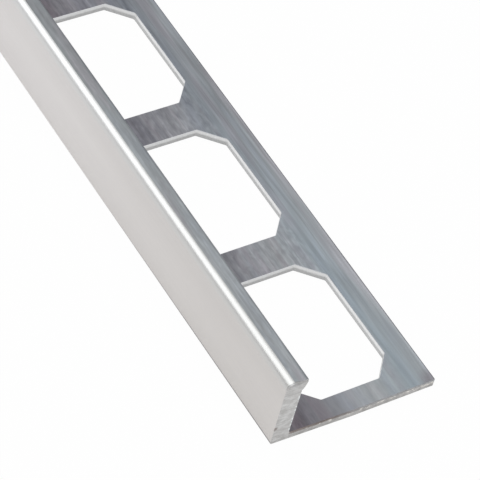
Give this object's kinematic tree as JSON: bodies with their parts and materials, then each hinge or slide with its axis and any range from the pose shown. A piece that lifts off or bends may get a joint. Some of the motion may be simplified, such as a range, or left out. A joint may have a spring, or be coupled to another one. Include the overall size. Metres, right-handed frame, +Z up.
{
  "type": "tile edge trim",
  "caption": "Straight-edge metal tile trim: upright wall with a rounded top edge and inner lip, on a thin leg with a row of punched eight-sided holes.",
  "frame": {"origin": "centre of the underside, where the leg lies on the floor", "axes": "+X along the length, towards the cut end that shows in the picture; +Y from the wall to the free edge of the leg, under the tile; +Z up, from the leg to the top of the wall"},
  "size_m": [2.5, 0.024, 0.011],
  "materials": {
    "mill_aluminium": "satin mill finish with lengthwise die lines; bright punched and sawn edges"
  },
  "bodies": {
    "root": {"edge_trim_profile": "mill_aluminium"}
  },
  "joints": []
}
